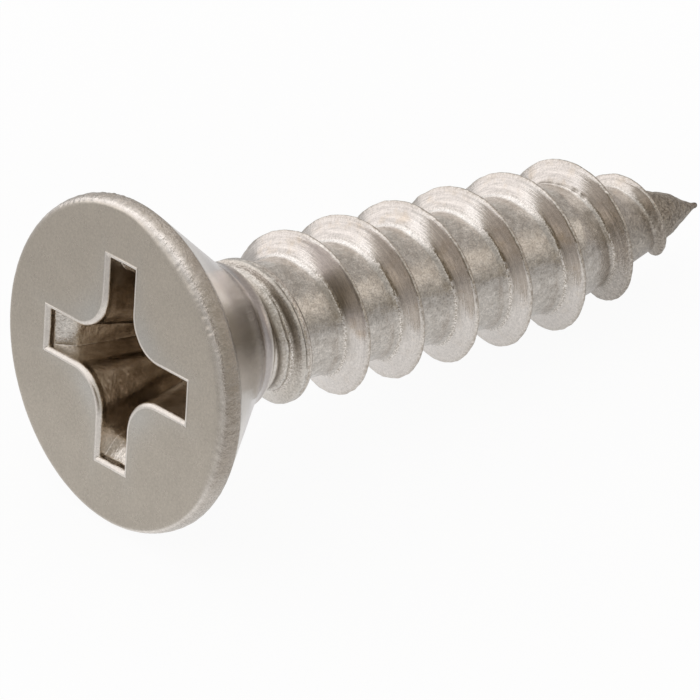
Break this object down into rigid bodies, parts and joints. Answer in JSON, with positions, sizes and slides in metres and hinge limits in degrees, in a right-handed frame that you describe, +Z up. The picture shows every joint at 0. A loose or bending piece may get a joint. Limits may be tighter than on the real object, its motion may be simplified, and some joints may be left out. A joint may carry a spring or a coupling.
{
  "type": "flat head wood screw",
  "caption": "Flat head wood screw with a countersunk head, a cross recess, a coarse thread and a gimlet point, lying on its side.",
  "frame": {"origin": "centre of the base of the box around the screw as it lies on its side, on the surface it lies on", "axes": "+X from the head to the tip, which hangs down about nine degrees; +Z up; the head's face looks towards -X"},
  "size_m": [0.0186, 0.0082, 0.0081],
  "materials": {
    "steel": "satin stainless steel, warm grey, tumbled, rougher on the rim and between the turns of thread"
  },
  "bodies": {
    "root": {"wood_screw": "steel"}
  },
  "joints": []
}
